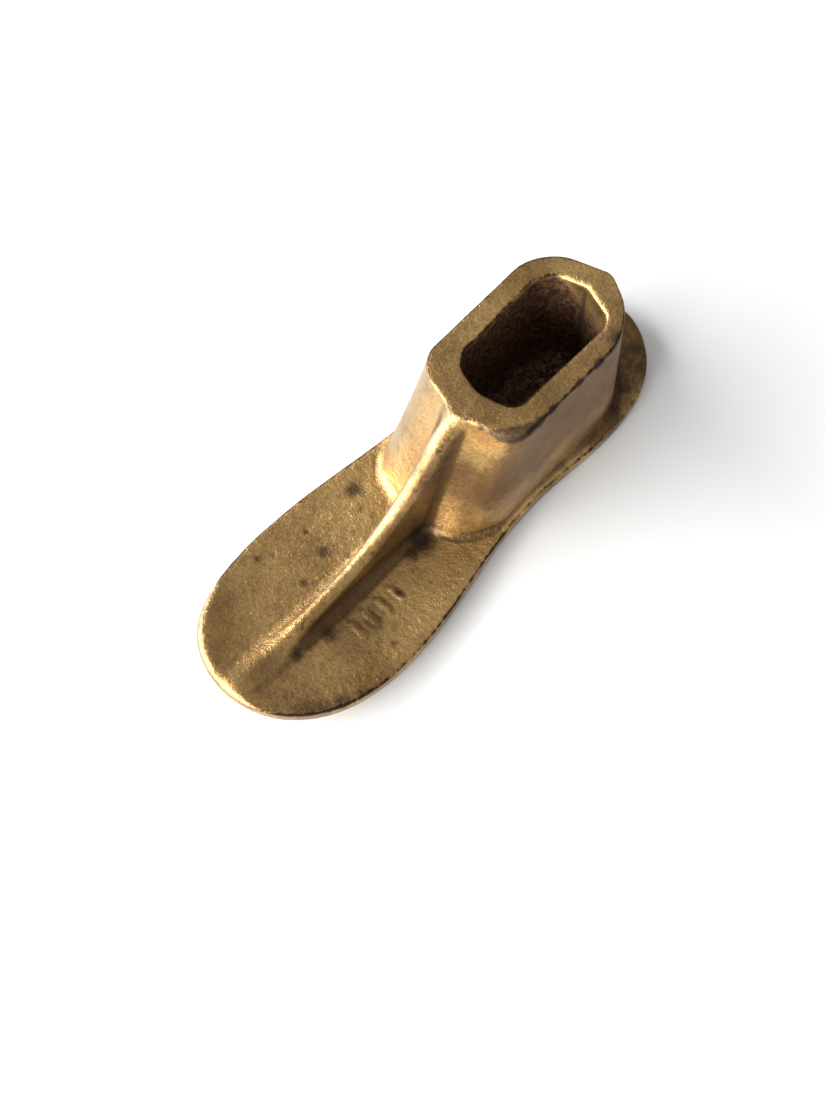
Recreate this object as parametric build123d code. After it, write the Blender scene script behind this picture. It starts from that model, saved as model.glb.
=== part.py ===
from build123d import *
import math
import os

# Child's-size cobbler's last in cast iron: a sole-shaped plate, a hollow tower that drops over a
# stand post, and a rib from the tower to the toe. Millimetres.
# +X points to the toe, +Z up. The origin is under the middle of the overall box.

# ---- sole plate
LENGTH = 144.5            # heel end to toe tip
HEEL_WIDTH = 39.2
WAIST_WIDTH = 37.8
BALL_WIDTH = 49.0
HEEL_STATION = 31.0       # heel end to the widest part of the heel
WAIST_STATION = 58.0      # heel end to the waist
BALL_STATION = 42.0       # toe tip to the ball
# How the heel and the toe round off: share of the station above, share of the half width there.
HEEL_ROUND = ((0.07, 0.36), (0.32, 0.8))
TOE_ROUND = ((0.21, 0.7), (0.045, 0.36))
PLATE_THICKNESS = 4.5
TOE_SPRING = 6.8          # how far the underside lifts at the toe tip
SPRING_RUN = 50.0         # toe tip to where the lift begins
TOP_EDGE_RADIUS = 1.3
SOLE_EDGE_RADIUS = 1.8

# ---- socket, an elongated hexagon that narrows a little towards its blind floor
SOCKET_STATION = 40.4     # heel end to the socket's centre
SOCKET_LENGTH = 38.6
SOCKET_WIDTH = 19.6
SOCKET_POINT = 3.2        # how far each pointed end stands past its shoulders
SOCKET_CORNER = 3.0
SOCKET_FLOOR = 7.0        # metal left under the socket, plate included
SOCKET_DRAFT = 0.7        # each side comes in by this much at the floor

# ---- tower round the socket
HEIGHT = 40.0             # underside to rim
SIDE_WALL = 5.8
REAR_WALL = 6.6
FRONT_WALL = 7.8
TOWER_OFFSET = 0.5        # the tower stands this far to the +Y side of the centreline
TOWER_POINT_REAR = 6.7
TOWER_POINT_FRONT = 4.6
TOWER_POINT_OFFSET = 2.6  # the rear point stands this far to the +Y side of the tower's middle
TOWER_CORNER = 5.5
FOOT_SPREAD_SIDE = 0.6    # how far the foot stands out past the rim
FOOT_SPREAD_REAR = 0.8
FOOT_SPREAD_FRONT = 16.0
FOOT_POINT_FRONT = 8.0    # how far the foot's front point stands past its shoulders
# The front leans back in a hollow curve: share of the height above the foot, share of the spread.
FRONT_CURVE = ((0.0, 1.0), (0.2, 0.62), (0.55, 0.27), (1.0, 0.0))

# ---- rib from the tower's front to the toe
RIB_THICKNESS = 4.8
RIB_CROWN = 1.9           # radius of its long upper edges
RIB_TOP_GAP = 0.6         # rim to the rib's start
RIB_ROOT_HEIGHT = 17.4    # height over the plate above the tower's front foot
RIB_BALL_HEIGHT = 6.8     # height over the plate at the ball
RIB_TOE_HEIGHT = 2.4      # height over the plate at its toe end
RIB_TOE_GAP = 5.5         # toe tip to the rib's end

# ---- raised marks on the forefoot
MARK_BARS = 4
BAR_LENGTH = 5.2
BAR_WIDTH = 1.5
BAR_PITCH = 4.4
BAR_HEIGHT = 0.7
MARK_STATION = 40.0       # toe tip to the middle of the marks
MARK_OFFSET = 10.4        # centreline to the middle of the marks

HEEL_X = -LENGTH / 2
TOE_X = LENGTH / 2
SOCKET_X = HEEL_X + SOCKET_STATION
SPRING_START_X = TOE_X - SPRING_RUN
SPRING_RADIUS = (SPRING_RUN**2 + TOE_SPRING**2) / (2 * TOE_SPRING)
TOWER_HEIGHT = HEIGHT - PLATE_THICKNESS
RIM_FRONT_X = SOCKET_X + SOCKET_LENGTH / 2 + FRONT_WALL
RIM_REAR_X = SOCKET_X - SOCKET_LENGTH / 2 - REAR_WALL
RIM_HALF_WIDTH = SOCKET_WIDTH / 2 + SIDE_WALL


def plate_top(x):
    """Height of the plate's upper face at x."""
    run = max(0.0, x - SPRING_START_X)
    return SPRING_RADIUS - math.sqrt((SPRING_RADIUS - PLATE_THICKNESS) ** 2 - run**2)


def sole_outline():
    """The sole seen from above: one smooth closed curve, alike on both sides."""
    heel_half = HEEL_WIDTH / 2
    ball_half = BALL_WIDTH / 2
    side = [
        *((HEEL_X + HEEL_STATION * run, heel_half * share) for run, share in HEEL_ROUND),
        (HEEL_X + HEEL_STATION, heel_half),
        (HEEL_X + WAIST_STATION, WAIST_WIDTH / 2),
        (TOE_X - BALL_STATION, ball_half),
        *((TOE_X - BALL_STATION * run, ball_half * share) for run, share in TOE_ROUND),
    ]
    other_side = [(x, -y) for x, y in reversed(side)]
    return make_face([Spline((HEEL_X, 0), *side, (TOE_X, 0), *other_side, periodic=True)])


def plate_slab():
    """A wide slab of the plate's thickness, flat under heel and waist and curling up at the toe."""
    overhang = SPRING_RUN * 0.2
    angle = math.asin((SPRING_RUN + overhang) / SPRING_RADIUS)
    back = HEEL_X - overhang

    def on_arc(radius, turn):
        return (SPRING_START_X + radius * math.sin(turn), SPRING_RADIUS - radius * math.cos(turn))

    low = SPRING_RADIUS
    high = SPRING_RADIUS - PLATE_THICKNESS
    outline = [
        Line((back, 0), on_arc(low, 0)),
        ThreePointArc(on_arc(low, 0), on_arc(low, angle / 2), on_arc(low, angle)),
        Line(on_arc(low, angle), on_arc(high, angle)),
        ThreePointArc(on_arc(high, angle), on_arc(high, angle / 2), on_arc(high, 0)),
        Line(on_arc(high, 0), (back, PLATE_THICKNESS)),
        Line((back, PLATE_THICKNESS), (back, 0)),
    ]
    return extrude(Plane.XZ * make_face(outline), amount=BALL_WIDTH, both=True)


def sole_plate():
    """The plate with its upper and lower edges rounded."""
    plate = extrude(sole_outline(), amount=HEIGHT) & plate_slab()
    for level, radius in ((PLATE_THICKNESS, TOP_EDGE_RADIUS), (0.0, SOLE_EDGE_RADIUS)):
        flats = plate.faces().filter_by(GeomType.PLANE)
        flat = flats.sort_by(lambda face: abs(face.center().Z - level))[0]
        plate = fillet(flat.edges().filter_by(GeomType.BSPLINE), radius)
    return plate


def hexagon(z, rear, front, half_width, points, corner, rear_offset=0.0):
    """An elongated hexagon along X at height z, with its four side corners rounded."""
    rear_point, front_point = points
    shape = make_face(
        Polyline(
            (rear, rear_offset),
            (rear + rear_point, -half_width),
            (front - front_point, -half_width),
            (front, 0),
            (front - front_point, half_width),
            (rear + rear_point, half_width),
            close=True,
        )
    )
    shoulders = [v for v in shape.vertices() if abs(v.Y) > half_width / 2]
    return Pos(0, TOWER_OFFSET, z) * fillet(shoulders, corner)


def socket():
    """The post socket as a solid, to be cut from the tower."""
    sections = []
    for z, draft in ((SOCKET_FLOOR, SOCKET_DRAFT), (HEIGHT, 0.0)):
        half_length = SOCKET_LENGTH / 2 - draft
        half_width = SOCKET_WIDTH / 2 - draft
        rear = SOCKET_X - half_length
        front = SOCKET_X + half_length
        points = (SOCKET_POINT, SOCKET_POINT)
        sections.append(hexagon(z, rear, front, half_width, points, SOCKET_CORNER))
    return loft(sections, ruled=True)


def tower_body():
    """The tower without its socket, flared at the foot and hollow-curved at the front."""
    sections = []
    for rise, front_spread in FRONT_CURVE:
        z = PLATE_THICKNESS + TOWER_HEIGHT * rise
        rear = RIM_REAR_X - FOOT_SPREAD_REAR * (1 - rise)
        front = RIM_FRONT_X + FOOT_SPREAD_FRONT * front_spread
        half_width = RIM_HALF_WIDTH + FOOT_SPREAD_SIDE * (1 - rise)
        front_point = TOWER_POINT_FRONT + (FOOT_POINT_FRONT - TOWER_POINT_FRONT) * front_spread
        points = (TOWER_POINT_REAR, front_point)
        sections.append(
            hexagon(z, rear, front, half_width, points, TOWER_CORNER, TOWER_POINT_OFFSET)
        )
    return loft(sections, ruled=True)


def rib_blank():
    """The rib before the tower and the plate take their share of it."""
    root_x = RIM_FRONT_X + FOOT_SPREAD_FRONT
    ball_x = TOE_X - BALL_STATION
    toe_x = TOE_X - RIB_TOE_GAP
    start = (RIM_FRONT_X, HEIGHT - RIB_TOP_GAP)
    ridge = Spline(
        start,
        (root_x, PLATE_THICKNESS + RIB_ROOT_HEIGHT),
        (ball_x, plate_top(ball_x) + RIB_BALL_HEIGHT),
        (toe_x, plate_top(toe_x) + RIB_TOE_HEIGHT),
        tangents=((0.7, -1), (1, 0.12)),
    )
    # Its underside runs along the middle of the plate, so that the plate trims it.
    back_x = SOCKET_X
    bend, half_way, end = (
        (x, plate_top(x) - PLATE_THICKNESS / 2)
        for x in (SPRING_START_X, (SPRING_START_X + toe_x) / 2, toe_x)
    )
    profile = make_face(
        [
            Line((back_x, start[1]), start),
            ridge,
            Line(ridge @ 1, end),
            ThreePointArc(end, half_way, bend),
            Line(bend, (back_x, bend[1])),
            Line((back_x, bend[1]), (back_x, start[1])),
        ]
    )
    blank = extrude(Plane.XZ * profile, amount=RIB_THICKNESS / 2, both=True)
    crown = blank.edges().filter_by(GeomType.BSPLINE)
    return fillet(crown, RIB_CROWN)


def size_mark(plate):
    """Short raised bars across the forefoot, proud of the plate by their height."""
    middle_x = TOE_X - MARK_STATION
    skin = Pos(0, 0, BAR_HEIGHT) * plate_slab()
    bars = []
    for index in range(MARK_BARS):
        x = middle_x + (index - (MARK_BARS - 1) / 2) * BAR_PITCH
        column = Pos(x, MARK_OFFSET, HEIGHT / 2) * Box(BAR_WIDTH, BAR_LENGTH, HEIGHT)
        bars.append((column & skin) - plate)
    return Compound(children=[solid for bar in bars for solid in bar.solids()])


plate = sole_plate()
tower_outside = tower_body()
parts = {
    "sole_plate": plate,
    "socket_tower": tower_outside - socket(),
    "toe_rib": rib_blank() - tower_outside - plate,
    "size_mark": size_mark(plate),
}

os.makedirs("parts", exist_ok=True)
for name, shape in parts.items():
    export_step(shape, f"parts/{name}.step")
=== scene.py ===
import math

import bpy
import numpy as np
from bpy.props import FloatProperty, FloatVectorProperty, IntProperty, PointerProperty
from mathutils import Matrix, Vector


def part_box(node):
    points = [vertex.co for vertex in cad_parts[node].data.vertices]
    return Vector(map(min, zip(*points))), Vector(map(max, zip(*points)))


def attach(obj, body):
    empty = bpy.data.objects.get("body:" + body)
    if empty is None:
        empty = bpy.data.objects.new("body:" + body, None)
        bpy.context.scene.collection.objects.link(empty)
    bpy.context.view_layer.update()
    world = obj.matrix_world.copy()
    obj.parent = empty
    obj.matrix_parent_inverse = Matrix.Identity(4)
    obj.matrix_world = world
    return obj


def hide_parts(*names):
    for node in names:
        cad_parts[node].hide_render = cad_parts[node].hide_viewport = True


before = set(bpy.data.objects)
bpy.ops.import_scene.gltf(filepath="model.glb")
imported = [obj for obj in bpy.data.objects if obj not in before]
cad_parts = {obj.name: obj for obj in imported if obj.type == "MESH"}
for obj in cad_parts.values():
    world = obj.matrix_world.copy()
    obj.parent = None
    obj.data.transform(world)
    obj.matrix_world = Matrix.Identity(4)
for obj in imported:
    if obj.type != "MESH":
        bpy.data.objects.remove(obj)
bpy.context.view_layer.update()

bl_info = {
    "name": "Cobbler's Last",
    "version": (1, 0, 0),
    "blender": (4, 5, 0),
    "location": "3D View > Sidebar > Last",
    "description": "A child's-size shoe last, sand-cast in iron and brushed with gold bronze paint",
    "category": "Object",
}

MM = 0.001
PLATE_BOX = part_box("sole_plate")
TOWER_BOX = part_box("socket_tower")
RIB_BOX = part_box("toe_rib")
MARK_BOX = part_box("size_mark")
HEEL_X = PLATE_BOX[0].x
TOE_X = PLATE_BOX[1].x
SOLE_NODES = ("sole_plate", "socket_tower", "toe_rib", "size_mark")

# How the sole's heel and toe round off: share of the way to the widest place, share of half width.
# The side towards -Y comes first, then the side towards +Y.
HEEL_ROUND = (
    ((0.03, 0.0), (0.08, 0.36), (0.32, 0.8)),
    ((0.03, 0.0), (0.085, 0.3), (0.32, 0.745)),
)
TOE_ROUND = (
    ((0.48, 0.93), (0.21, 0.755), (0.045, 0.4)),
    ((0.21, 0.715), (0.045, 0.37)),
)
# The rib's ridge: share of the way from the rim's front to the rib's toe end, height over the sole.
RIDGE = (
    (-0.05, 0.0450),
    (0.0, 0.0395),
    (0.09, 0.0335),
    (0.15, 0.0280),
    (0.21, 0.0232),
    (0.29, 0.0182),
    (0.37, 0.0145),
    (0.48, 0.0122),
    (0.64, 0.0109),
    (0.82, 0.0101),
    (0.91, 0.0100),
    (1.0, 0.0103),
)

# Patches of the finish, some of them painted shade: place, reach and strength, in millimetres.
STAINS_AND_SHADE = (
    (12.3, -16.0, 4.5, 3.6, 0.8),
    (15.1, -11.3, 4.5, 2.6, 0.55),
    (29.6, -9.9, 4.6, 2.8, 0.85),
    (28.7, -16.6, 4.6, 1.3, 1.0),
    (42.0, -19.7, 5.6, 1.5, 0.8),
    (38.7, -7.5, 5.2, 2.0, 0.8),
    (37.5, -5.8, 5.1, 1.1, 0.8),
    (38.7, -18.0, 5.2, 0.9, 0.9),
    (26.3, -4.7, 4.5, 1.6, 0.6),
    (11.3, 5.3, 4.8, 4.2, 1.0),
    (15.4, 6.1, 4.5, 2.6, 0.9),
    (25.0, 10.8, 4.5, 2.4, 0.7),
    (29.5, 12.6, 4.6, 1.8, 0.45),
    (34.8, 11.6, 4.8, 4.0, 0.45),
    (35.2, 19.0, 5.0, 1.5, 0.7),
    (44.0, 6.5, 6.2, 3.2, 0.8),
    (53.5, 5.0, 7.6, 2.6, 0.75),
    (50.0, 22.4, 6.6, 3.0, 0.6),
    (54.6, 20.6, 7.4, 4.5, 0.6),
    (58.6, 18.8, 8.2, 4.5, 0.6),
    (62.4, 16.2, 9.2, 4.0, 0.5),
    (-64.1, 9.6, 4.5, 3.2, 0.7),
    (-54.0, 14.4, 4.5, 3.6, 0.9),
    (-47.0, 16.2, 4.5, 3.0, 0.8),
    (-60.6, 13.4, 4.5, 3.0, 0.8),
    # The wide patch at the heel is partly painted shadow of the tower.
    (-58.0, 13.0, 4.5, 13.0, 0.6),
    (-19.0, 15.8, 28.5, 1.0, 1.4),
    (-21.5, 15.8, 27.0, 0.9, 1.4),
    (-24.0, 15.8, 26.0, 0.9, 1.2),
    (-5.8, 7.4, 39.8, 2.0, 1.3),
    (-6.4, 10.2, 39.8, 2.6, 1.5),
    (-7.6, 12.6, 40.0, 3.2, 1.9),
    (-9.4, 14.2, 40.0, 3.4, 1.9),
    (-11.4, 15.2, 40.0, 3.2, 1.9),
    (-13.8, 16.0, 40.0, 2.8, 1.7),
    (-17.0, 16.2, 39.2, 2.2, 1.6),
    (-21.5, 16.4, 39.4, 2.0, 1.2),
    (-31.0, 16.4, 39.4, 1.8, 1.3),
    (-38.0, 16.4, 39.4, 2.2, 1.4),
    (-45.6, 14.6, 39.4, 4.2, 0.7),
    (1.5, 1.6, 35.5, 1.4, 0.9),
)
GREEN_PATCHES = (
    (-25.5, 13.2, 40.0, 4.5, 1.0),
    (-17.0, 12.0, 40.0, 3.4, 0.8),
    (-3.5, 8.0, 30.0, 5.0, 0.7),
    (-9.0, 13.5, 27.0, 6.0, 0.5),
    (12.3, -16.0, 4.5, 2.6, 0.6),
    (43.5, 14.5, 5.8, 4.0, 0.5),
)
# Broad patches where the plate's upward faces near the tower are made bright gold.
BRIGHT_TOP_PATCHES = (
    (6.0, 20.0, 4.5, 36.0, 2.0),
    (4.0, -12.0, 4.5, 18.0, 2.6),
)
# Brown patches. The two at the heel and the one in the corner of tower, rib and plate are partly painted
# shadow of the tower and rib.
BROWN_AND_SHADE_PATCHES = (
    (1.0, 9.0, 22.0, 19.0, 0.75),
    (-66.0, 5.0, 4.5, 16.0, 0.7),
    (-44.0, 17.0, 5.0, 12.0, 0.6),
    (12.0, 6.0, 4.5, 6.0, 0.8),
)

# An edge rounded to the first radius is worn to the iron, one of the second holds old grime along
# it, and a corner of the third is darkened brown: partly old polish, partly painted shade.
WORN_RADIUS = 0.9 * MM
GRIMY_RADIUS = 1.2 * MM
POLISH_AND_SHADE_RADIUS = 1.6 * MM
SHARPNESS_REACH = 1.1 * MM
FACING_REACH = 0.3 * MM


# ---------------------------------------------------------------- sizes a user would change


class LastSizes(bpy.types.PropertyGroup):
    """Sizes of the casting that its frame doesn't give."""

    heel_width: FloatProperty(
        name="Heel Width", description="Widest place of the heel", default=0.04, unit="LENGTH"
    )
    waist_width: FloatProperty(
        name="Waist Width", description="Narrowest place of the sole", default=0.0378, unit="LENGTH"
    )
    heel_station: FloatProperty(
        name="Heel Station", description="Heel end to the widest heel", default=0.031, unit="LENGTH"
    )
    waist_station: FloatProperty(
        name="Waist Station", description="Heel end to the waist", default=0.058, unit="LENGTH"
    )
    ball_station: FloatProperty(
        name="Ball Station", description="Toe tip to the ball", default=0.042, unit="LENGTH"
    )
    ball_lead: FloatProperty(
        name="Ball Lead", description="How far the -Y ball is ahead", default=0.0035, unit="LENGTH"
    )
    waist_lean: FloatProperty(
        name="Waist Lean", description="How far the waist stands towards -Y", default=0.0003,
        unit="LENGTH",
    )
    toe_spring: FloatProperty(
        name="Toe Spring", description="Lift of the underside at the toe", default=0.0068, unit="LENGTH"
    )
    spring_run: FloatProperty(
        name="Spring Run", description="Toe tip to where the lift begins", default=0.05, unit="LENGTH"
    )
    dish: FloatProperty(
        name="Dish", description="How far the plate's top is hollowed", default=0.00045, unit="LENGTH"
    )
    top_edge: FloatProperty(
        name="Top Edge", description="Radius of the plate's upper edge", default=0.0009, unit="LENGTH"
    )
    sole_edge: FloatProperty(
        name="Sole Edge", description="Radius of the plate's lower edge", default=0.0014, unit="LENGTH"
    )
    socket_length: FloatProperty(
        name="Socket Length", description="Point to point at the mouth", default=0.0386, unit="LENGTH"
    )
    socket_width: FloatProperty(
        name="Socket Width", description="Across the mouth", default=0.0196, unit="LENGTH"
    )
    socket_point: FloatProperty(
        name="Socket Point", description="How far each end is pointed", default=0.0032, unit="LENGTH"
    )
    socket_floor: FloatProperty(
        name="Socket Floor", description="Metal left under the socket", default=0.007, unit="LENGTH"
    )
    socket_draft: FloatProperty(
        name="Socket Draft", description="How far the walls close in", default=0.0007, unit="LENGTH"
    )
    side_wall: FloatProperty(
        name="Side Wall", description="Tower wall beside the socket", default=0.0061, unit="LENGTH"
    )
    rear_wall: FloatProperty(
        name="Rear Wall", description="Tower wall behind the socket", default=0.0073, unit="LENGTH"
    )
    front_wall: FloatProperty(
        name="Front Wall", description="Tower wall before the socket", default=0.0078, unit="LENGTH"
    )
    tower_offset: FloatProperty(
        name="Tower Offset", description="How far the tower is off centre", default=0.0005, unit="LENGTH"
    )
    socket_station: FloatProperty(
        name="Socket Station", description="Heel end to the socket's middle", default=0.0404, unit="LENGTH"
    )
    rib_thickness: FloatProperty(
        name="Rib Thickness", description="Across the rib's crown", default=0.0044, unit="LENGTH"
    )
    root_fillet: FloatProperty(
        name="Root Fillet", description="Casting fillet round the tower", default=0.0024, unit="LENGTH"
    )
    valley_fillet: FloatProperty(
        name="Valley Fillet", description="Fillet where rib and tower meet", default=0.0017, unit="LENGTH"
    )
    mark_bars: IntProperty(name="Mark Bars", description="Raised bars on the forefoot", default=4, min=0)
    mesh_step: FloatProperty(
        name="Mesh Step", description="Width of one face of the casting", default=0.0006, unit="LENGTH"
    )


class SkinSizes(bpy.types.PropertyGroup):
    """The sand-cast skin that the casting keeps from its mould."""

    grain_size: FloatProperty(
        name="Grain Size", description="Width of the coarse sand grain", default=0.0017, unit="LENGTH"
    )
    grain_height: FloatProperty(
        name="Grain Height", description="Height of the coarse grain", default=0.00017, unit="LENGTH"
    )
    lump_size: FloatProperty(
        name="Lump Size", description="Width of the mould's slow waves", default=0.011, unit="LENGTH"
    )
    lump_height: FloatProperty(
        name="Lump Height", description="Height of the slow waves", default=0.00035, unit="LENGTH"
    )
    seed: IntProperty(name="Seed", description="Which skin the noise gives", default=7)


def linear(colour):
    """An sRGB hex colour as the linear colour that Blender's sockets take."""
    parts = [int(colour[i : i + 2], 16) / 255 for i in (1, 3, 5)]
    return (*(c / 12.92 if c <= 0.04045 else ((c + 0.055) / 1.055) ** 2.4 for c in parts), 1.0)


class FinishColours(bpy.types.PropertyGroup):
    """Colours of the gold bronze paint and of the iron where it has worn through."""

    gold: FloatVectorProperty(
        name="Gold", description="The paint where it is thin", subtype="COLOR", size=4,
        default=linear("#947246"), min=0, max=1,
    )
    bright_gold: FloatVectorProperty(
        name="Bright Gold", description="The paint where it is thick", subtype="COLOR", size=4,
        default=linear("#C29D64"), min=0, max=1,
    )
    # A painted highlight: the paler tint on the faces towards the lamp.
    lit_side_gold: FloatVectorProperty(
        name="Pale Gold", description="The paint where it is rubbed dull", subtype="COLOR", size=4,
        default=linear("#948060"), min=0, max=1,
    )
    # Brown is also the colour of the painted shade in corners, along the rib's foot and behind the tower.
    brown: FloatVectorProperty(
        name="Brown", description="Aged paint and old polish", subtype="COLOR", size=4,
        default=linear("#422A12"), min=0, max=1,
    )
    # Iron is also the colour of the wide painted shadow patch at the heel.
    iron: FloatVectorProperty(
        name="Iron", description="Bare iron on worn edges", subtype="COLOR", size=4,
        default=linear("#281C15"), min=0, max=1,
    )
    green: FloatVectorProperty(
        name="Green", description="Verdigris bloom of the bronze powder", subtype="COLOR", size=4,
        default=linear("#6A6A3C"), min=0, max=1,
    )
    # The tower's side towards +Y is turned from the lamp: this colour is rubbed paint made darker as
    # painted shade.
    rubbed_and_shade: FloatVectorProperty(
        name="Rubbed", description="Rubbed paint on the tower's side", subtype="COLOR", size=4,
        default=linear("#5E4228"), min=0, max=1,
    )
    dust: FloatVectorProperty(
        name="Dust", description="Pale grit caught along the rib", subtype="COLOR", size=4,
        default=linear("#CDB898"), min=0, max=1,
    )
    # Bare, rusty iron deep in the socket, darkened as painted shade.
    socket_iron_and_shade: FloatVectorProperty(
        name="Soot", description="Dark inside of the socket", subtype="COLOR", size=4,
        default=linear("#331407"), min=0, max=1,
    )


class StageSettings(bpy.types.PropertyGroup):
    """Floor, light and camera."""

    floor: FloatVectorProperty(
        name="Floor", description="Colour of the floor", subtype="COLOR", size=4,
        default=linear("#EFEEEC"), min=0, max=1,
    )
    camera_place: FloatVectorProperty(
        name="Camera Place", description="Where the camera stands", subtype="TRANSLATION",
        default=(0.15866, 0.13853, 0.44421),
    )
    camera_pitch: FloatProperty(
        name="Camera Pitch", description="Tilt up from straight down", subtype="ANGLE",
        default=math.radians(24.0),
    )
    camera_heading: FloatProperty(
        name="Camera Heading", description="Turn about the vertical", subtype="ANGLE",
        default=math.radians(132.7),
    )
    lens: FloatProperty(
        name="Lens", description="Focal length on a 36 mm sensor", default=65.45, unit="CAMERA"
    )
    window_watts: FloatProperty(
        name="Window", description="Power of the soft light", default=100.0, unit="POWER"
    )
    window_size: FloatVectorProperty(
        name="Window Size", description="Width and height of the soft light", size=2,
        default=(2.8, 0.84), unit="LENGTH",
    )
    room_colour: FloatVectorProperty(
        name="Room", description="Colour of the room's own light", subtype="COLOR", size=4,
        default=linear("#F2F3F5"), min=0, max=1,
    )
    room_light: FloatProperty(
        name="Room Light", description="Strength of the room's own light", default=0.53, min=0
    )
    floor_width: FloatProperty(
        name="Floor Width", description="Side of the square floor", default=6.0, unit="LENGTH"
    )


# ---------------------------------------------------------------- the casting's shape


def rounded_max(radius, *fields):
    """Where all the fields overlap, with the outer edge between them rounded to the radius."""
    reach = sum(np.maximum(field + radius, 0.0) ** 2 for field in fields)
    deepest = fields[0]
    for field in fields[1:]:
        deepest = np.maximum(deepest, field)
    return np.minimum(deepest, -radius) + np.sqrt(reach)


def filleted_min(radius, *fields):
    """All the fields joined, with a casting fillet of the radius in the corner between them."""
    return -rounded_max(radius, *(-field for field in fields))


def smooth_step(value, low, high):
    """0 below low, 1 above high and a soft rise between them."""
    share = np.clip((value - low) / (high - low), 0.0, 1.0)
    return share * share * (3 - 2 * share)


def hump(value, middle, width):
    """1 at the middle, falling away softly on both sides of it."""
    return np.exp(-(((value - middle) / width) ** 2))


def closed_spline(points, per_span):
    """Points along the smooth closed curve that passes through the given ones."""
    points = np.asarray(points, float)
    following = np.roll(points, -1, 0)
    gap = np.linalg.norm(following - points, axis=1)
    before = np.roll(gap, 1)
    slope = (following - points) / gap[:, None]
    matrix = np.diag(2 * (gap + before))
    for i in range(len(points)):
        matrix[i, (i + 1) % len(points)] += gap[i]
        matrix[i, i - 1] += before[i]
    bend = np.linalg.solve(matrix, 6 * (slope - np.roll(slope, 1, 0)))
    share = np.linspace(0, 1, per_span, endpoint=False)[:, None, None]
    rest = 1 - share
    sag = (rest**3 - rest) * bend + (share**3 - share) * np.roll(bend, -1, 0)
    curve = rest * points + share * following + sag * gap[:, None] ** 2 / 6
    return curve.transpose(1, 0, 2).reshape(-1, 2)


def smooth_curve(stations, x):
    """A height at each x, on a smooth curve through the stations."""
    xs, zs = np.array(stations).T
    tangents = np.gradient(zs, xs)
    x = np.clip(x, xs[0], xs[-1])
    i = np.clip(np.searchsorted(xs, x) - 1, 0, len(xs) - 2)
    width = xs[i + 1] - xs[i]
    t = (x - xs[i]) / width
    ends = zs[i] * (1 + 2 * t) * (1 - t) ** 2 + zs[i + 1] * t * t * (3 - 2 * t)
    return ends + width * (tangents[i] * t * (1 - t) ** 2 + tangents[i + 1] * t * t * (t - 1))


def beyond_line(x, y, start, end):
    """Distance past the line from start to end, on its right-hand side."""
    run, rise = end[0] - start[0], end[1] - start[1]
    return (rise * (x - start[0]) - run * (y - start[1])) / np.sqrt(run**2 + rise**2)


class Outline:
    """The sole seen from above, as a smooth map of the distance to its edge."""

    STEP = 0.7 * MM
    MARGIN = 4 * MM
    PER_SPAN = 90

    def __init__(self, sizes):
        heel_half = sizes.heel_width / 2
        ball_half = PLATE_BOX[1].y - 0.2 * MM
        sides = []
        for outward, heel_round, toe_round in zip((-1, 1), HEEL_ROUND, TOE_ROUND):
            side = [(HEEL_X + sizes.heel_station * run, heel_half * share) for run, share in heel_round]
            side.append((HEEL_X + sizes.heel_station, heel_half))
            waist_half = sizes.waist_width / 2 - outward * sizes.waist_lean
            side.append((HEEL_X + sizes.waist_station, waist_half))
            lead = sizes.ball_lead if outward < 0 else 0.0
            side.append((TOE_X - sizes.ball_station + lead, ball_half))
            for run, share in toe_round:
                side.append((TOE_X - sizes.ball_station * run, ball_half * share))
            sides.append([(x, outward * y) for x, y in side])
        edge = closed_spline(sides[0] + [(TOE_X, 0.0)] + sides[1][:0:-1], self.PER_SPAN)
        self.low = np.array([HEEL_X, -ball_half]) - self.MARGIN
        size = np.array([TOE_X - HEEL_X, 2 * ball_half]) + 2 * self.MARGIN
        counts = np.ceil(size / self.STEP).astype(int) + 1
        along = np.roll(edge, -1, 0) - edge
        rows = self.low[1] + self.STEP * np.arange(counts[1])
        self.map = np.empty(counts)
        for i in range(counts[0]):
            place = np.stack([np.full(counts[1], self.low[0] + self.STEP * i), rows], 1)
            offset = place[:, None] - edge
            share = np.clip((offset * along).sum(2) / (along**2).sum(1), 0, 1)
            gap = ((offset - share[..., None] * along) ** 2).sum(2)
            nearest = gap.argmin(1)
            own = offset[np.arange(counts[1]), nearest]
            inside = along[nearest, 0] * own[:, 1] > along[nearest, 1] * own[:, 0]
            self.map[i] = np.sqrt(gap.min(1)) * np.where(inside, -1, 1)

    def distance(self, x, y):
        """Distance to the edge, negative on the sole, blended from the nine nearest map points."""
        total = 0.0
        places, weights = [], []
        for value, low, count in zip((x, y), self.low, self.map.shape):
            steps = (value - low) / self.STEP
            nearest = np.clip(np.rint(steps).astype(int), 1, count - 2)
            off = steps - nearest
            places.append(nearest)
            weights.append((0.5 * (0.5 - off) ** 2, 0.75 - off**2, 0.5 * (0.5 + off) ** 2))
        for i in range(3):
            for j in range(3):
                total = total + weights[0][i] * weights[1][j] * self.map[
                    places[0] + i - 1, places[1] + j - 1
                ]
        return total


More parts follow.
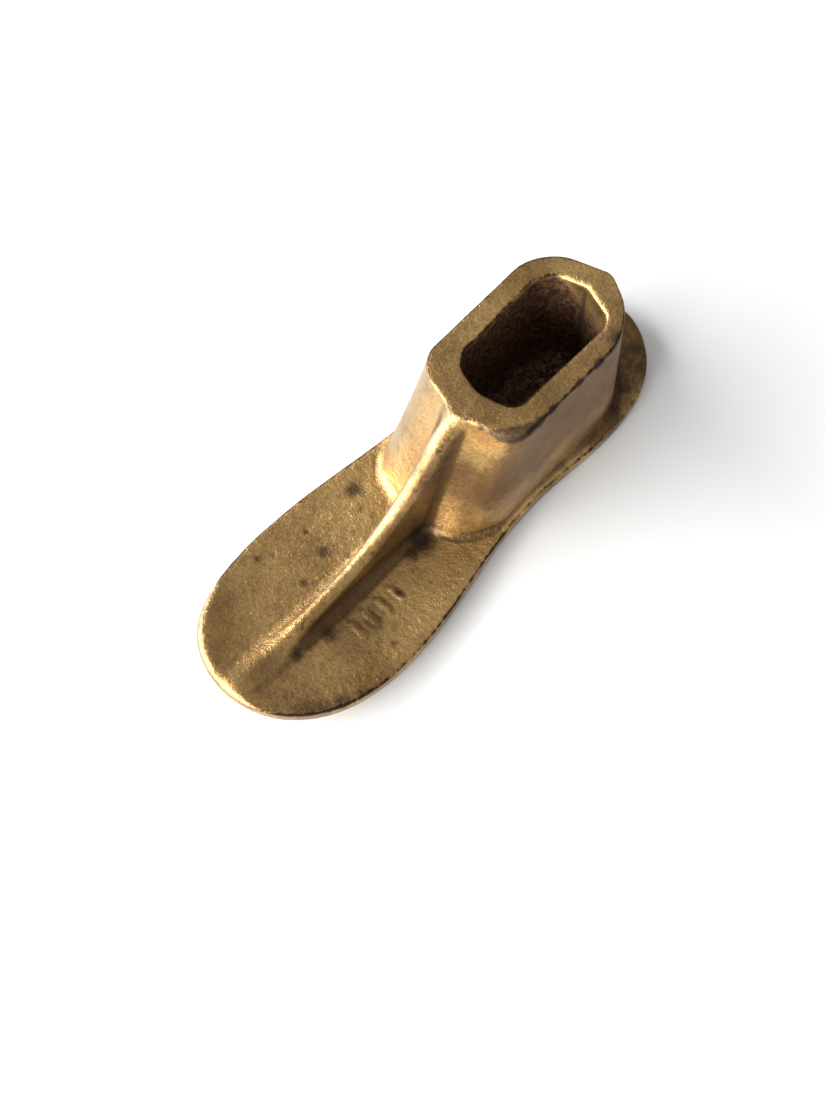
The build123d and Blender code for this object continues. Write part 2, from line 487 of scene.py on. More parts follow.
class Casting:
    """The whole casting as a distance: negative in the iron, positive in the air."""

    TOWER_CORNER = 6.0 * MM
    REAR_ROUNDER = 3.0 * MM       # how much rounder its rear corners are
    FOOT_ROUNDER = 6.0 * MM       # and its foot in front towards +Y
    RIM_TIGHTER = 1.4 * MM        # and how much tighter its rim is there
    SIDE_SPREAD = 0.7 * MM        # how far the foot stands out past the rim
    FLARE = 1.7 * MM              # and further where it runs into the rib
    FRONT_INSET = 1.8 * MM        # how far the front's foot stays short of its node's end
    REAR_CREASE = 1.2 * MM
    FRONT_CREASE = 2.0 * MM
    REAR_POINT_LEFT = 6.0 * MM
    REAR_POINT_RIGHT = 7.4 * MM
    REAR_POINT_OFFSET = 2.1 * MM
    RIM_FRONT_POINT = 4.6 * MM
    FOOT_FRONT_POINT = 5.5 * MM
    HOLLOW = 1.2                  # how strongly the tower's front curves in
    SOCKET_CORNER = 4.4 * MM
    SOCKET_TIGHTER = 1.6 * MM     # how much tighter its corners are towards +Y
    SOCKET_CREASE = 2.2 * MM      # how softly the two faces of its front end meet
    RIB_CROWN = 2.5 * MM
    RIB_DRAFT = 0.06              # how fast the rib's flanks widen downwards
    RIB_BEYOND = 3.0 * MM         # how far the rib runs past its node's end
    BAR_HALF = 0.75 * MM
    BAR_CROWN = 0.5 * MM
    BAR_ROOT = 0.4 * MM
    BAR_SINK = 0.2 * MM           # the bars' tops are this far under the plate's raised edge

    def __init__(self, sizes):
        self.sizes = sizes
        self.outline = Outline(sizes)
        self.plate_thickness = TOWER_BOX[0].z
        self.height = TOWER_BOX[1].z
        self.bend_x = TOE_X - sizes.spring_run
        self.bend_radius = (sizes.spring_run**2 + sizes.toe_spring**2) / (2 * sizes.toe_spring)
        self.socket_x = HEEL_X + sizes.socket_station
        self.rim_front = self.socket_x + sizes.socket_length / 2 + sizes.front_wall
        self.rim_rear = self.socket_x - sizes.socket_length / 2 - sizes.rear_wall
        self.rim_half = sizes.socket_width / 2 + sizes.side_wall

    def top_of_plate(self, x):
        """Height of the plate's upper face, and the cosine of its slope."""
        run = np.maximum(x - self.bend_x, 0.0)
        inner = self.bend_radius - self.plate_thickness
        lift = np.sqrt(inner**2 - run**2)
        return self.bend_radius - lift, lift / inner

    def underside(self, x):
        """Height of the plate's lower face."""
        run = np.maximum(x - self.bend_x, 0.0)
        return self.bend_radius - np.sqrt(self.bend_radius**2 - run**2)

    def plate(self, x, y, z):
        """The sole plate's side and its top, which is a little hollow inside a raised edge."""
        sizes = self.sizes
        edge = self.outline.distance(x, y)
        top, slope = self.top_of_plate(x)
        hollow = sizes.dish * smooth_step(-edge, 1.2 * MM, 8 * MM)
        # The toe's tip and its -Y corner are rounded over more than the rest.
        corner = smooth_step(x, 50 * MM, 62 * MM) * smooth_step(-y, -9 * MM, -1 * MM)
        radius = sizes.top_edge + 2.0 * MM * corner
        return rounded_max(radius, edge, (z - top + hollow) * slope)

    def tower(self, x, y, z):
        """The tower, upright at its sides and rear and flowing forward at its foot."""
        fall = 1 - np.clip((z - self.plate_thickness) / (self.height - self.plate_thickness), 0, 1)
        y = y - self.sizes.tower_offset
        lean = fall**self.HOLLOW
        rear = self.rim_rear + (TOWER_BOX[0].x - self.rim_rear) * fall
        front = self.rim_front + (TOWER_BOX[1].x - self.FRONT_INSET - self.rim_front) * lean
        # The side towards -Y flares more where it runs into the rib.
        flare = smooth_step(-y, 2 * MM, 9 * MM) * smooth_step(x, self.socket_x, self.rim_front)
        half = self.rim_half + (self.SIDE_SPREAD + self.FLARE * flare) * fall
        # Its rear corners are rounder than the rest, and so is its foot towards +Y.
        at_rear = smooth_step(self.socket_x - x, 0.0, 12 * MM)
        front_right = smooth_step(y, -5 * MM, 5 * MM) * (1 - at_rear)
        corner = self.TOWER_CORNER + self.REAR_ROUNDER * at_rear
        corner = corner + (self.FOOT_ROUNDER * lean - self.RIM_TIGHTER) * front_right
        point = self.RIM_FRONT_POINT + (self.FOOT_FRONT_POINT - self.RIM_FRONT_POINT) * lean
        rear_tip = (rear, self.REAR_POINT_OFFSET)
        left = beyond_line(x, y, rear_tip, (rear + self.REAR_POINT_LEFT, -half))
        right = beyond_line(x, y, (rear + self.REAR_POINT_RIGHT, half), rear_tip)
        rear_wedge = rounded_max(self.REAR_CREASE, left, right)
        spread_y = np.sqrt(y**2 + self.FRONT_CREASE**2)
        front_wedge = ((x - front) * half + spread_y * point) / np.sqrt(half**2 + point**2)
        return rounded_max(corner, rear_wedge, front_wedge, np.abs(y) - half)

    def socket(self, x, y, z):
        """The hollow for the stand's post, closing in a little towards its floor."""
        sizes = self.sizes
        depth = np.clip((self.height - z) / (self.height - sizes.socket_floor), 0, 1)
        half_length = sizes.socket_length / 2 - sizes.socket_draft * depth
        half = sizes.socket_width / 2 - sizes.socket_draft * depth
        x = x - self.socket_x
        y = y - sizes.tower_offset
        corner = self.SOCKET_CORNER - self.SOCKET_TIGHTER * smooth_step(y, -5 * MM, 5 * MM)
        # The rear end keeps its crease; the front end's is nearly rounded away.
        crease = self.SOCKET_CREASE * smooth_step(x, -4 * MM, 4 * MM)
        x, y = np.abs(x), np.sqrt(y**2 + crease**2)
        point = sizes.socket_point
        ends = ((x - half_length) * half + y * point) / np.sqrt(half**2 + point**2)
        return rounded_max(corner, ends, y - half, sizes.socket_floor - z)

    def rib(self, x, y, z):
        """The rib, with a round crown and flanks that widen downwards."""
        start, end = self.rim_front, RIB_BOX[1].x + self.RIB_BEYOND
        share = (x - start) / (end - start)
        ridge = smooth_curve(RIDGE, share)
        steepness = (smooth_curve(RIDGE, share + 0.01) - ridge) / (0.01 * (end - start))
        level = 1 / np.sqrt(1 + steepness**2)
        depth = np.maximum(ridge - z, 0.0)
        width = 1 + 0.08 * np.cos(np.clip(share, 0, 1) * 2 * math.pi)
        half = self.sizes.rib_thickness / 2 * width + self.RIB_DRAFT * depth
        middle = (0.3 + 0.4 * smooth_step(share, 0.3, 0.7)) * MM
        flanks = np.abs(y - middle) - half
        ends = np.maximum(x - end, self.socket_x - x)
        return rounded_max(self.RIB_CROWN, flanks, (z - ridge) * level, ends)

    def marks(self, x, y, z):
        """Low worn bars on the forefoot, in place of a founder's lettering."""
        low, high = MARK_BOX
        count = self.sizes.mark_bars
        top, slope = self.top_of_plate(x)
        pitch = (high.x - low.x - 2 * self.BAR_HALF) / max(count - 1, 1)
        from_first = x - low.x - self.BAR_HALF
        nearest = np.clip(np.rint(from_first / pitch), 0, count - 1)
        across = np.abs(from_first - nearest * pitch) - self.BAR_HALF
        along = np.abs(y - (low.y + high.y) / 2) - (high.y - low.y) / 2
        proud = (z - top + self.BAR_SINK) * slope
        return rounded_max(self.BAR_CROWN, across, along, proud)

    def distance(self, x, y, z):
        """Distance to the finished casting's skin."""
        sizes = self.sizes
        forward = smooth_step(x, self.rim_front - 8 * MM, self.rim_front + 6 * MM)
        to_toe = smooth_step(x, self.rim_front + 12 * MM, self.rim_front + 34 * MM)
        # The tower's root is tighter in front towards +Y, and the rib's is widest towards -Y.
        left = smooth_step(-y, -2 * MM, 4 * MM)
        root = sizes.root_fillet * (1 + forward * (0.3 * left - 0.3))
        valley = sizes.valley_fillet * (1 + (0.7 + 0.4 * left) * to_toe)
        solid = filleted_min(root, self.plate(x, y, z), self.tower(x, y, z))
        solid = filleted_min(valley, solid, self.rib(x, y, z))
        if sizes.mark_bars:
            solid = filleted_min(self.BAR_ROOT, solid, self.marks(x, y, z))
        solid = rounded_max(sizes.sole_edge, solid, self.underside(x) - z)
        # One corner of the rim has been knocked round.
        knock = hump(x, -9.5 * MM, 4.5 * MM) * hump(y, 14.5 * MM, 4 * MM)
        rim = (0.7 + 0.3 * smooth_step(y, 0.0, 10 * MM) + 1.2 * knock) * MM
        solid = rounded_max(rim, solid, z - self.height)
        mouth = (1.5 - 0.8 * smooth_step(x, self.socket_x - 10 * MM, self.socket_x + 8 * MM)) * MM
        return rounded_max(mouth, solid, -self.socket(x, y, z))

    def at(self, points):
        """The distance at each of a list of points."""
        return self.distance(*points.T)

    def slope(self, points, reach):
        """Which way the distance grows at each point, and how fast."""
        steps = np.eye(3) * reach
        sides = [(self.at(points + s) - self.at(points - s)) / (2 * reach) for s in steps]
        return np.stack(sides, 1)

    def sharpness(self, points, reach):
        """How sharply the skin bends at each point: over 0 on edges, under 0 in corners."""
        steps = np.eye(3) * reach
        around = sum(self.at(points + s) + self.at(points - s) for s in steps)
        return (around - 6 * self.at(points)) / reach**2


def surface_net(field, low, step):
    """Points and four-sided faces of the surface where the field changes sign."""
    cells = tuple(n - 1 for n in field.shape)
    size = cells[0] * cells[1] * cells[2]
    count = np.zeros(size)
    total = np.zeros((3, size))
    faces = []
    for axis in range(3):
        u, v = (axis + 1) % 3, (axis + 2) % 3
        near = np.take(field, range(field.shape[axis] - 1), axis)
        far = np.take(field, range(1, field.shape[axis]), axis)
        at = np.argwhere((near < 0) != (far < 0))
        a, b = near[tuple(at.T)], far[tuple(at.T)]
        cross = at.astype(float)
        cross[:, axis] += a / (a - b)
        ring = []
        for du, dv in ((1, 1), (0, 1), (0, 0), (1, 0)):
            cell = at.copy()
            cell[:, u] -= du
            cell[:, v] -= dv
            index = np.ravel_multi_index(tuple(cell.T), cells)
            count += np.bincount(index, minlength=size)
            for k in range(3):
                total[k] += np.bincount(index, cross[:, k], minlength=size)
            ring.append(index)
        ring = np.stack(ring, 1)
        faces.append(np.where((a < 0)[:, None], ring, ring[:, ::-1]))
    used = np.flatnonzero(count)
    number = np.full(size, -1)
    number[used] = np.arange(len(used))
    points = (total[:, used] / count[used]).T * step + low
    return points, number[np.concatenate(faces)]


def settle(points, faces, casting, rounds):
    """Evens out the faces and brings every point onto the skin."""
    ends = np.concatenate([faces[:, [i, (i + 1) % 4]] for i in range(4)])
    neighbours = np.bincount(ends[:, 0], minlength=len(points))
    for _ in range(rounds):
        mean = [np.bincount(ends[:, 0], points[ends[:, 1], k], len(points)) for k in range(3)]
        points = points + 0.6 * (np.stack(mean, 1) / neighbours[:, None] - points)
        for _ in range(2):
            slope = casting.slope(points, 0.05 * MM)
            points = points - slope * (casting.at(points) / (slope**2).sum(1))[:, None]
    return points


def patches(points, spots):
    """How strongly each point lies in one of the spots: its strength in the middle, 0 at its reach."""
    lay = np.zeros(len(points))
    for *place, reach, strength in spots:
        gap = np.linalg.norm(points / MM - place, axis=1) / reach
        lay = np.maximum(lay, strength * np.clip(1.25 - 1.25 * gap, 0, 1))
    return lay


def casting_mesh(sizes, casting):
    """The casting as one closed mesh, with what its finish needs to know at each point."""
    step = sizes.mesh_step
    margin = 3 * step
    low = np.array([HEEL_X, PLATE_BOX[0].y, 0.0]) - margin
    high = np.array([TOE_X, PLATE_BOX[1].y, casting.height]) + margin
    x, y, z = (np.arange(a, b, step) for a, b in zip(low, high))
    field = casting.distance(x[:, None, None], y[None, :, None], z[None, None, :])
    points, faces = surface_net(field, low, step)
    points = settle(points, faces, casting, 3)
    mesh = bpy.data.meshes.new("cast_last")
    mesh.from_pydata(points.tolist(), [], faces.tolist())
    mesh.shade_smooth()
    sharp = casting.sharpness(points, SHARPNESS_REACH)
    px, py, pz = points.T
    facing = casting.slope(points, FACING_REACH)
    # Edges towards +Y are rubbed most: more at the toe, and less at the ball and round the heel.
    rubbed_side = 0.3 + 0.7 * smooth_step(facing[:, 1], 0.1, 0.5)
    heel_edge = smooth_step(-px, 34 * MM, 44 * MM) * smooth_step(-pz, -16 * MM, -8 * MM)
    rubbed_side *= 1 - 0.6 * heel_edge
    rubbed_side *= 1 - 0.4 * hump(px, 37 * MM, 8 * MM)
    rubbed_side *= 1 + 0.5 * hump(px, 60 * MM, 8 * MM)
    depth = casting.height - pz
    # The socket's dark inside begins under its mouth, and deeper down at its rear end, which the lamp
    # lights; the gold kept there is partly painted highlight.
    inside = smooth_step(-casting.socket(px, py, pz), -1.2 * MM, 0.6 * MM)
    lit_end = smooth_step(casting.socket_x - px, 9 * MM, 17 * MM) * smooth_step(py, -7 * MM, 3 * MM)
    tower_gap = np.abs(casting.tower(px, py, pz))
    along_rib = smooth_step(px, 4 * MM, 12 * MM) * smooth_step(-px, -60 * MM, -46 * MM)
    dusty = 0.85 * hump(py, -2.8 * MM, 1.4 * MM) * along_rib
    # Painted shadow of the rib on the plate along its foot towards +Y, the side away from the lamp.
    shadow_side = 0.5 * hump(py, 3.8 * MM, 2.2 * MM) * along_rib
    shadow_side *= smooth_step(-px, -60 * MM, -48 * MM)
    # The faces of tower and rib towards -Y, which face the lamp, and the toe's edge there are tinted
    # paler: a painted highlight.
    pale_lit_side = smooth_step(-facing[:, 1], 0.05, 0.5) * (1 - inside)
    at_toe = smooth_step(px, 30 * MM, 45 * MM) * smooth_step(-py, 5 * MM, 11 * MM)
    upright = smooth_step(pz, 5 * MM, 9 * MM) * smooth_step(-px, -45 * MM, -30 * MM)
    pale_lit_side *= np.maximum(upright, at_toe)
    # Darkening in the hollow corners: partly old polish, partly painted shade.
    corners = np.clip(-sharp * POLISH_AND_SHADE_RADIUS - 0.8 * dusty, 0, 1)
    lays = {
        "worn": np.clip(sharp * WORN_RADIUS, 0, 0.9) * rubbed_side,
        "polish_and_shade": np.maximum(corners + shadow_side, patches(points, BROWN_AND_SHADE_PATCHES)),
        "inside": inside * smooth_step(depth, 0.2 * MM, (1.4 + 15 * lit_end) * MM),
        "root": np.exp(-tower_gap / (7 * MM))
        * smooth_step(depth, 8 * MM, 22 * MM)
        * smooth_step(facing[:, 2], 0.3, 0.8),
        "level": smooth_step(facing[:, 2], 0.2, 0.8),
        "grimy": np.clip(sharp * GRIMY_RADIUS - 0.75, 0, 1)
        * smooth_step(-facing[:, 1], -0.2, 0.4)
        * smooth_step(60 * MM - px, 0.0, 8 * MM),
        "stained_and_shaded": patches(points, STAINS_AND_SHADE),
        "greened": patches(points, GREEN_PATCHES),
        "bright_tops": patches(points, BRIGHT_TOP_PATCHES) * smooth_step(facing[:, 2], 0.6, 0.9),
        "pale_lit_side": pale_lit_side,
        # The tower's side towards +Y, away from the lamp: rubbed paint, made darker as painted shade.
        "scuffed_and_shaded": smooth_step(facing[:, 1], 0.4, 0.9)
        * smooth_step(pz, 9 * MM, 22 * MM)
        * smooth_step(py, 5 * MM, 17 * MM),
        "dusty": dusty,
    }
    for name, values in lays.items():
        mesh.attributes.new(name, "FLOAT", "POINT").data.foreach_set("value", values)
    return mesh


# ---------------------------------------------------------------- nodes


def add(tree, kind, inputs=None, **settings):
    """Adds a node with its settings, and gives each named input a value or another node's output."""
    node = tree.nodes.new(kind)
    for name, value in settings.items():
        setattr(node, name, value)
    for key, value in (inputs or {}).items():
        if isinstance(value, bpy.types.NodeSocket):
            tree.links.new(value, node.inputs[key])
        else:
            node.inputs[key].default_value = value
    return node


def cast_skin_tree():
    """Geometry Nodes that dent a surface as sand in a mould does."""
    tree = bpy.data.node_groups.new("cast_skin", "GeometryNodeTree")
    face = tree.interface
    face.new_socket("Geometry", in_out="INPUT", socket_type="NodeSocketGeometry")
    for name in ("Grain Size", "Grain Height", "Lump Size", "Lump Height", "Seed"):
        face.new_socket(name, in_out="INPUT", socket_type="NodeSocketFloat")
    face.new_socket("Material", in_out="INPUT", socket_type="NodeSocketMaterial")
    face.new_socket("Geometry", in_out="OUTPUT", socket_type="NodeSocketGeometry")
    given = add(tree, "NodeGroupInput").outputs
    place = add(tree, "GeometryNodeInputPosition").outputs[0]
    root, level = (
        add(tree, "GeometryNodeInputNamedAttribute", {"Name": name}, data_type="FLOAT").outputs[0]
        for name in ("root", "level")
    )
    heights = []
    for size, height in (("Grain Size", "Grain Height"), ("Lump Size", "Lump Height")):
        scale = add(tree, "ShaderNodeMath", {0: 1.0, 1: given[size]}, operation="DIVIDE")
        noise = add(
            tree,
            "ShaderNodeTexNoise",
            {"Vector": place, "W": given["Seed"], "Scale": scale.outputs[0], "Detail": 1.0},
            noise_dimensions="4D",
        )
        # Only dents: noise minus one keeps the casting inside its own size.
        dent = add(tree, "ShaderNodeMath", {0: noise.outputs[0], 1: 1.0}, operation="SUBTRACT")
        heights.append(
            add(tree, "ShaderNodeMath", {0: dent.outputs[0], 1: given[height]}, operation="MULTIPLY")
        )
    rough = add(tree, "ShaderNodeMath", {0: level, 1: 0.4, 2: 0.1}, operation="MULTIPLY_ADD")
    rough = add(
        tree, "ShaderNodeMath", {0: root, 1: 2.2, 2: rough.outputs[0]}, operation="MULTIPLY_ADD"
    )
    grain = add(
        tree, "ShaderNodeMath", {0: heights[0].outputs[0], 1: rough.outputs[0]}, operation="MULTIPLY"
    )
    both = add(tree, "ShaderNodeMath", {0: grain.outputs[0], 1: heights[1].outputs[0]}, operation="ADD")
    normal = add(tree, "GeometryNodeInputNormal")
    push = add(
        tree, "ShaderNodeVectorMath", {0: normal.outputs[0], "Scale": both.outputs[0]}, operation="SCALE"
    )
    moved = add(
        tree, "GeometryNodeSetPosition", {"Geometry": given["Geometry"], "Offset": push.outputs[0]}
    )
    whole = add(tree, "GeometryNodeRealizeInstances", {0: moved.outputs[0]})
    painted = add(
        tree, "GeometryNodeSetMaterial", {"Geometry": whole.outputs[0], "Material": given["Material"]}
    )
    add(tree, "NodeGroupOutput", {"Geometry": painted.outputs[0]})
    return tree


def bake_tree(obj, tree, values):
    """Runs a Geometry Nodes tree on the object and keeps its result as the object's own mesh."""
    modifier = obj.modifiers.new(tree.name, "NODES")
    modifier.node_group = tree
    for item in tree.interface.items_tree:
        if item.in_out == "INPUT" and item.name in values:
            modifier[item.identifier] = values[item.name]
    shown = bpy.context.evaluated_depsgraph_get()
    made = bpy.data.meshes.new_from_object(obj.evaluated_get(shown))
    obj.modifiers.remove(modifier)
    obj.data = made


def gilt_cast_iron(colours):
    """Bronze powder paint over sand-cast iron.

    Brushed on by hand: flakes of brass in a varnish give a broad, soft metal sheen with fine
    sparkle from the sand grain below. Age leaves it brown and spotted, and knocks and rubbing
    take it off the edges, where dark iron shows. Some of its brown and darker layers are painted
    shade, and its paler tint on the side towards the lamp is a painted highlight.
    """
    material = bpy.data.materials.new("gilt_cast_iron")
    material.use_nodes = True
    tree = material.node_tree
    tree.nodes.clear()
    place = add(tree, "ShaderNodeTexCoord").outputs["Object"]
    worn, polish_and_shade, inside, root, level, grimy, stained_and_shaded, greened, bright_tops, scuffed_and_shaded, dusty, pale_lit_side = (
        add(tree, "ShaderNodeAttribute", attribute_name=name).outputs["Fac"]
        for name in (
            "worn", "polish_and_shade", "inside", "root", "level", "grimy",
            "stained_and_shaded", "greened", "bright_tops", "scuffed_and_shaded", "dusty", "pale_lit_side",
        )
    )

    # Noises by their width on the surface. Moulding sand has grains of 0.2 to 0.4 mm, which is
    # the finest of them; the others are the clumps, brush marks and blotches that lie over it.
    cloud, blotch, wear, speck, grit, fine = (
        add(
            tree,
            "ShaderNodeTexNoise",
            {"Vector": place, "Scale": 1 / (width * MM), "Detail": detail, "Roughness": roughness},
        ).outputs[0]
        for width, detail, roughness in (
            (16.0, 3.0, 0.6),
            (5.0, 4.0, 0.65),
            (2.2, 4.0, 0.7),
            (0.7, 2.0, 0.6),
            (1.5, 4.0, 0.7),
            (0.34, 2.0, 0.7),
        )
    )

    # Paint: thin to thick in slow clouds, lighter and darker from grain to grain.
    thick = add(
        tree, "ShaderNodeMapRange", {"Value": cloud, "From Min": 0.35, "From Max": 0.68}
    ).outputs[0]
    paint = add(
        tree, "ShaderNodeMix", {0: thick, 6: colours.gold, 7: colours.bright_gold}, data_type="RGBA"
    ).outputs[2]
    flick = add(
        tree,
        "ShaderNodeMapRange",
        {"Value": speck, "From Min": 0.3, "From Max": 0.7, "To Min": 0.72, "To Max": 1.24},
    ).outputs[0]
    paint = add(
        tree, "ShaderNodeVectorMath", {0: paint, "Scale": flick}, operation="SCALE"
    ).outputs[0]

    # Layers over the paint. Each lies where its amount and a noise together pass a level, and
    # the softness of its border is the distance between the two levels.
    layers = (
        # amount, noise, how far the noise moves it, from, to, most, colour
        # Bright gold on the upward faces inside the broad patches.
        (bright_tops, blotch, 0.6, 0.3, 1.2, 1.0, colours.bright_gold),
        # Paler tint on the faces towards the lamp: painted highlight.
        (pale_lit_side, cloud, 0.3, 0.2, 0.9, 0.75, colours.lit_side_gold),
        # Brown in the corners, along the rib's foot and behind the tower: old polish and painted shade.
        (polish_and_shade, blotch, 0.5, 0.4, 0.95, 0.8, colours.brown),
        (None, blotch, 1.0, 0.5, 0.75, 0.45, colours.brown),
        # Rubbed paint on the tower's side away from the lamp, darkened as painted shade.
        (scuffed_and_shaded, blotch, 0.6, 0.4, 1.1, 0.75, colours.rubbed_and_shade),
        (greened, blotch, 0.9, 0.45, 1.2, 0.3, colours.green),
        (grimy, wear, 0.8, 0.5, 0.9, 0.85, colours.brown),
        (None, grit, 1.0, 0.58, 0.72, 0.35, colours.brown),
        # Dark iron-coloured stains; the wide one at the heel is partly painted shadow of the tower.
        (stained_and_shaded, wear, 0.8, 0.5, 1.1, 0.8, colours.iron),
        (dusty, speck, 2.0, 1.75, 2.3, 0.55, colours.dust),
        (worn, wear, 2.4, 1.6, 2.05, 0.95, colours.iron),
    )
    for amount, noise, push, start, full, most, colour in layers:
        if amount is None:
            lay = noise
        else:
            lay = add(
                tree, "ShaderNodeMath", {0: noise, 1: push, 2: amount}, operation="MULTIPLY_ADD"
            ).outputs[0]
        cover = add(
            tree,
            "ShaderNodeMapRange",
            {"Value": lay, "From Min": start, "From Max": full, "To Max": most},
        ).outputs[0]
        paint = add(
            tree, "ShaderNodeMix", {0: cover, 6: paint, 7: colour}, data_type="RGBA"
        ).outputs[2]

    # The socket was never painted far down: bare, rusty iron, darkened further as painted shade, with the
    # gold reaching deeper at its lit rear end as partly painted highlight.
    deep = add(tree, "ShaderNodeMath", {0: grit, 1: 3.4, 2: -1.7}, operation="MULTIPLY_ADD").outputs[0]
    deep = add(
        tree, "ShaderNodeMath", {0: inside, 1: deep, 2: inside}, operation="MULTIPLY_ADD"
    ).outputs[0]
    deep = add(
        tree, "ShaderNodeMapRange", {"Value": deep, "From Min": 0.05, "From Max": 0.85}
    ).outputs[0]
    skin = add(
        tree, "ShaderNodeMix", {0: deep, 6: paint, 7: colours.socket_iron_and_shade}, data_type="RGBA"
    ).outputs[2]

    gloss = add(
        tree,
        "ShaderNodeMapRange",
        {"Value": blotch, "From Min": 0.3, "From Max": 0.7, "To Min": 0.28, "To Max": 0.4},
    ).outputs[0]
    gloss = add(
        tree, "ShaderNodeMath", {0: scuffed_and_shaded, 1: 0.2, 2: gloss}, operation="MULTIPLY_ADD"
    ).outputs[0]
    gloss = add(
        tree, "ShaderNodeMix", {0: deep, 2: gloss, 3: 0.75}, data_type="FLOAT"
    ).outputs[0]
    # The corners and the stains are matt where they are old polish and dirt; the same masks also carry
    # painted shade.
    dirt_and_shade = add(
        tree, "ShaderNodeMath", {0: polish_and_shade, 1: stained_and_shaded}, operation="MAXIMUM", use_clamp=True
    ).outputs[0]
    gloss = add(
        tree, "ShaderNodeMath", {0: dirt_and_shade, 1: 0.25, 2: gloss}, operation="MULTIPLY_ADD"
    ).outputs[0]
    metal = add(
        tree, "ShaderNodeMath", {0: dirt_and_shade, 1: -0.12, 2: 0.9}, operation="MULTIPLY_ADD"
    ).outputs[0]
    metal = add(
        tree, "ShaderNodeMix", {0: deep, 2: metal, 3: 0.0}, data_type="FLOAT"
    ).outputs[0]

    # The sand's print: coarsest on level faces and round the tower's root, fine all over.
    coarse = add(
        tree, "ShaderNodeMath", {0: level, 1: 0.8, 2: 0.35}, operation="MULTIPLY_ADD"
    ).outputs[0]
    coarse = add(
        tree, "ShaderNodeMath", {0: root, 1: 0.6, 2: coarse}, operation="MULTIPLY_ADD"
    ).outputs[0]
    bumped = add(
        tree, "ShaderNodeBump", {"Strength": coarse, "Distance": 0.32 * MM, "Height": grit}
    ).outputs[0]
    bumped = add(
        tree,
        "ShaderNodeBump",
        {"Strength": 0.5, "Distance": 0.1 * MM, "Height": fine, "Normal": bumped},
    ).outputs[0]
    shader = add(
        tree,
        "ShaderNodeBsdfPrincipled",
        {
            "Base Color": skin,
            "Metallic": metal,
            "Roughness": gloss,
            "Normal": bumped,
            "Coat Weight": 0.1,
            "Coat Roughness": 0.3,
        },
    )
    add(tree, "ShaderNodeOutputMaterial", {"Surface": shader.outputs[0]})
    return material


def pale_board(colours):
    """A pale painted board: matt, with the faintest unevenness."""
    material = bpy.data.materials.new("pale_board")
    material.use_nodes = True
    tree = material.node_tree
    tree.nodes.clear()
    place = add(tree, "ShaderNodeTexCoord").outputs["Object"]
    cloud = add(
        tree, "ShaderNodeTexNoise", {"Vector": place, "Scale": 12.0, "Detail": 4.0}
    ).outputs[0]
    shade = add(
        tree,
        "ShaderNodeMapRange",
        {"Value": cloud, "From Min": 0.3, "From Max": 0.7, "To Min": 0.985, "To Max": 1.0},
    ).outputs[0]
    tone = add(
        tree, "ShaderNodeVectorMath", {0: colours[:3], "Scale": shade}, operation="SCALE"
    ).outputs[0]
    shader = add(tree, "ShaderNodeBsdfPrincipled", {"Base Color": tone, "Roughness": 0.7})
    add(tree, "ShaderNodeOutputMaterial", {"Surface": shader.outputs[0]})
    return material


# ---------------------------------------------------------------- operators


class LAST_OT_casting(bpy.types.Operator):
    """Makes the casting: plate, tower, rib and marks in one skin"""

    bl_idname = "last.casting"
    bl_label = "Make Casting"

    def execute(self, context):
        scene = context.scene
        sizes, skin = scene.last_sizes, scene.last_skin
        mesh = casting_mesh(sizes, Casting(sizes))
        if not mesh.polygons:
            raise RuntimeError("the casting's field has no surface")
        casting = bpy.data.objects.new("cast_last", mesh)
        scene.collection.objects.link(casting)
        values = {
            "Grain Size": skin.grain_size,
            "Grain Height": skin.grain_height,
            "Lump Size": skin.lump_size,
            "Lump Height": skin.lump_height,
            "Seed": float(skin.seed),
            "Material": gilt_cast_iron(scene.last_colours),
        }
        bake_tree(casting, cast_skin_tree(), values)
        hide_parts(*SOLE_NODES)
        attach(casting, "root")
        return {"FINISHED"}


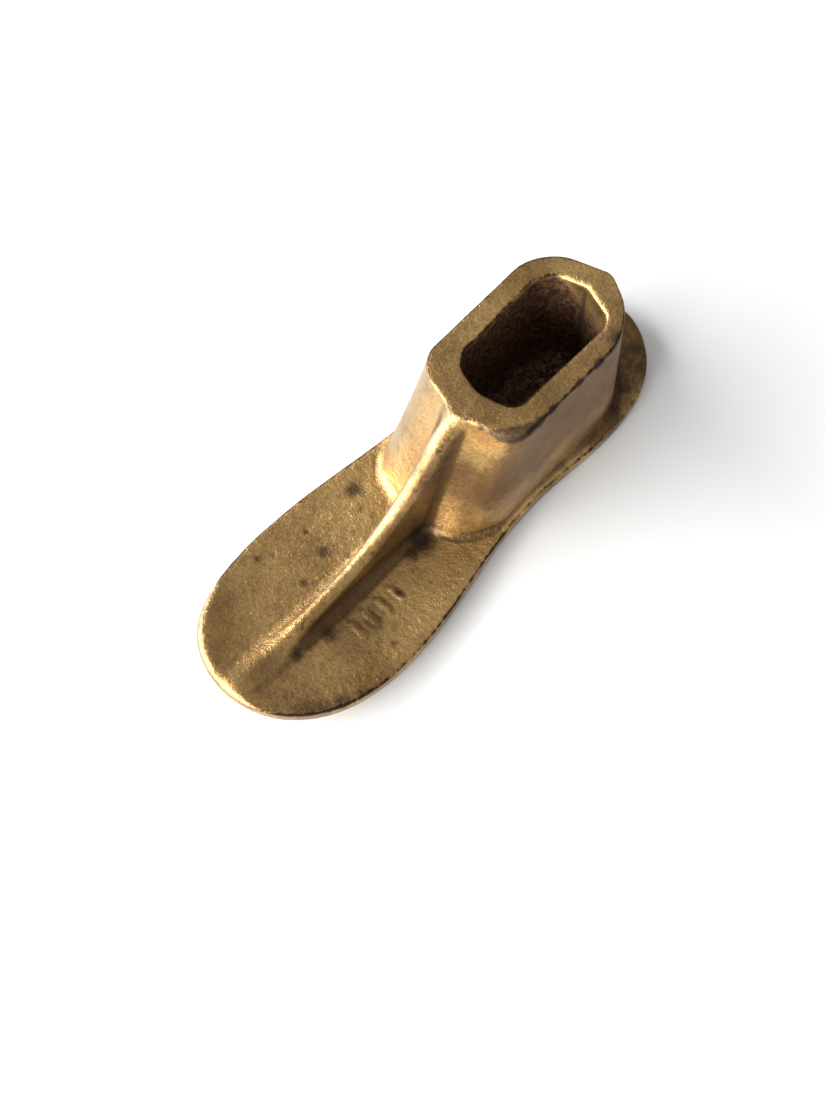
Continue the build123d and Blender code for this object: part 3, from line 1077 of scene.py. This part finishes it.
class LAST_OT_stage(bpy.types.Operator):
    """Makes the floor, the light and the camera"""

    bl_idname = "last.stage"
    bl_label = "Make Stage"

    def execute(self, context):
        scene = context.scene
        settings = scene.last_stage
        half = settings.floor_width / 2
        mesh = bpy.data.meshes.new("floor")
        corners = [(-half, -half, 0), (half, -half, 0), (half, half, 0), (-half, half, 0)]
        mesh.from_pydata(corners, [], [(0, 1, 2, 3)])
        mesh.materials.append(pale_board(settings.floor))
        floor = bpy.data.objects.new("floor", mesh)
        scene.collection.objects.link(floor)

        camera = bpy.data.cameras.new("camera")
        camera.sensor_width = 36.0
        camera.lens = settings.lens
        camera.clip_start = 0.01
        camera.clip_end = 20.0
        holder = bpy.data.objects.new("camera", camera)
        holder.location = settings.camera_place
        holder.rotation_euler = (settings.camera_pitch, 0.0, settings.camera_heading)
        scene.collection.objects.link(holder)
        scene.camera = holder

        left = Vector((-math.cos(settings.camera_heading), -math.sin(settings.camera_heading), 0))
        away = Vector((-math.sin(settings.camera_heading), math.cos(settings.camera_heading), 0))
        # The light stands low, a metre to the camera's left and a little nearer than the last.
        place = left - away * 0.22 + Vector((0, 0, 0.3))
        lamp = bpy.data.lights.new("window", "AREA")
        lamp.shape = "RECTANGLE"
        lamp.size, lamp.size_y = settings.window_size
        lamp.energy = settings.window_watts
        carrier = bpy.data.objects.new("window", lamp)
        carrier.location = place
        carrier.rotation_euler = (-place).to_track_quat("-Z", "Y").to_euler()
        scene.collection.objects.link(carrier)

        world = bpy.data.worlds.new("room")
        world.use_nodes = True
        background = world.node_tree.nodes["Background"]
        background.inputs["Color"].default_value = settings.room_colour
        background.inputs["Strength"].default_value = settings.room_light
        scene.world = world
        scene.view_settings.view_transform = "Standard"
        return {"FINISHED"}


class LAST_PT_panel(bpy.types.Panel):
    """Shows the last's buttons and settings in the sidebar"""

    bl_idname = "LAST_PT_panel"
    bl_label = "Cobbler's Last"
    bl_space_type = "VIEW_3D"
    bl_region_type = "UI"
    bl_category = "Last"

    def draw(self, context):
        for operator in (LAST_OT_casting, LAST_OT_stage):
            self.layout.operator(operator.bl_idname)
        for group in GROUPS:
            settings = getattr(context.scene, group)
            for name in settings.__annotations__:
                self.layout.prop(settings, name)


GROUPS = {
    "last_sizes": LastSizes,
    "last_skin": SkinSizes,
    "last_colours": FinishColours,
    "last_stage": StageSettings,
}
CLASSES = (*GROUPS.values(), LAST_OT_casting, LAST_OT_stage, LAST_PT_panel)


def register():
    for cls in CLASSES:
        bpy.utils.register_class(cls)
    for name, group in GROUPS.items():
        setattr(bpy.types.Scene, name, PointerProperty(type=group))


def unregister():
    for name in GROUPS:
        delattr(bpy.types.Scene, name)
    for cls in reversed(CLASSES):
        bpy.utils.unregister_class(cls)


def main():
    register()
    bpy.ops.last.stage()
    bpy.ops.last.casting()


if __name__ == "__main__":
    main()
